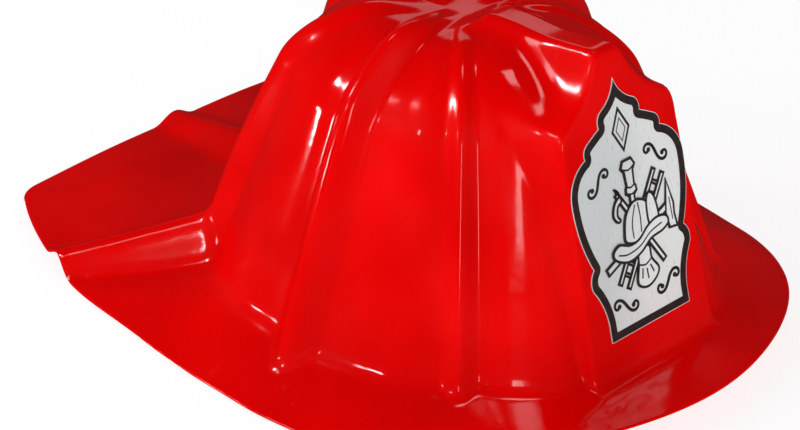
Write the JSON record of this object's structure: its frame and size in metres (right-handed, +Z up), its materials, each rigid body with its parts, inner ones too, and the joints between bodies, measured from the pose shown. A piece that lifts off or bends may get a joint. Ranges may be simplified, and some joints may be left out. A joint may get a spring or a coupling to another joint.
{
  "type": "firefighter helmet",
  "caption": "Dress-up fire helmet: ribbed formed plastic shell with a raised front panel and foil badge, rear duckbill brim and a size-adjustable inner headband.",
  "frame": {"origin": "on the dome's axis, in the plane that the brim rests on", "axes": "+Z up through the crown, +Y towards the rear duckbill, -Y the front panel with the badge, -X the wearer's right"},
  "size_m": [0.2726, 0.354, 0.1532],
  "materials": {
    "shell_plastic": "high gloss, as formed",
    "badge_foil": "satin silver foil",
    "badge_ink": "printed black",
    "band_plastic": "fine moulded texture",
    "foam": "soft foam with a knitted face",
    "tape_foam": "closed-cell foam tape"
  },
  "bodies": {
    "helmet": {"helmet_shell": "shell_plastic", "badge_foil": "badge_foil", "badge_border": "badge_ink", "front_band": "band_plastic", "brow_pad": "foam", "stud_left": "band_plastic", "stud_right": "band_plastic", "hanger_front_left": "band_plastic", "tape_pad_front_left": "tape_foam", "hanger_side_left": "band_plastic", "tape_pad_side_left": "tape_foam", "hanger_front_right": "band_plastic", "tape_pad_front_right": "tape_foam", "hanger_side_right": "band_plastic", "tape_pad_side_right": "tape_foam"},
    "rear_strap": {"rear_strap": "band_plastic"}
  },
  "joints": [
    {"name": "strap_slide", "type": "slide", "parent": "helmet", "child": "rear_strap", "axis": [0, 1, 0], "range_m": [0, 0.018]}
  ]
}
